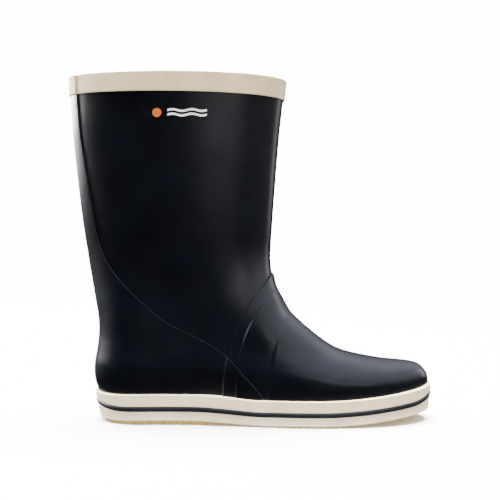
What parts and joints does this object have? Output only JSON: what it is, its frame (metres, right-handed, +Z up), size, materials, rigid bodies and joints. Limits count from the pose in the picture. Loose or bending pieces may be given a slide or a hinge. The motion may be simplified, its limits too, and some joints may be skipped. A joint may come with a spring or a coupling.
{
  "type": "rubber deck boot",
  "caption": "Calf-length rubber deck boot for the right foot with a textured cream cuff, wrapped sole edge, ribbed gum sole and a lift-out footbed.",
  "frame": {"origin": "on the ground, under the middle of the sole's length", "axes": "+X from heel to toe, -Y towards the outer side of the right foot, +Z up"},
  "size_m": [0.3247, 0.1088, 0.3041],
  "materials": {
    "lining_jersey": "knitted jersey",
    "upper_rubber": "satin natural rubber",
    "inner_rubber": "matt, covered by the vamp",
    "trim_rubber": "matt cream rubber with a fine diagonal texture",
    "foxing_rubber": "matt cream rubber with a fine diagonal texture",
    "piping_rubber": "matt navy rubber",
    "gum_rubber": "matt gum rubber",
    "filler_foam": "sponge rubber, hidden",
    "board": "fibre board, hidden",
    "footbed_foam": "soft foam, removable",
    "footbed_cover": "knitted cover of the footbed",
    "print_orange": "printed ink",
    "print_white": "printed ink"
  },
  "bodies": {
    "boot": {"lining": "lining_jersey", "lining_seam_tape": "lining_jersey", "leg": "upper_rubber", "instep_reinforcement": "inner_rubber", "toe_patch": "inner_rubber", "vamp": "upper_rubber", "heel_counter": "upper_rubber", "cuff_band": "trim_rubber", "foxing_upper": "foxing_rubber", "foxing_piping": "piping_rubber", "foxing_lower": "foxing_rubber", "outsole": "gum_rubber", "sole_filler": "filler_foam", "heel_lift": "filler_foam", "insole_board": "board", "print_disc": "print_orange", "print_wave_upper": "print_white", "print_wave_lower": "print_white"},
    "footbed": {"footbed_foam": "footbed_foam", "footbed_cover": "footbed_cover"}
  },
  "joints": [
    {"name": "footbed_lift", "type": "hinge", "parent": "boot", "child": "footbed", "pos_m": [0.1505, 0, 0.02], "axis": [0, 1, 0], "range_deg": [0, 10]}
  ]
}
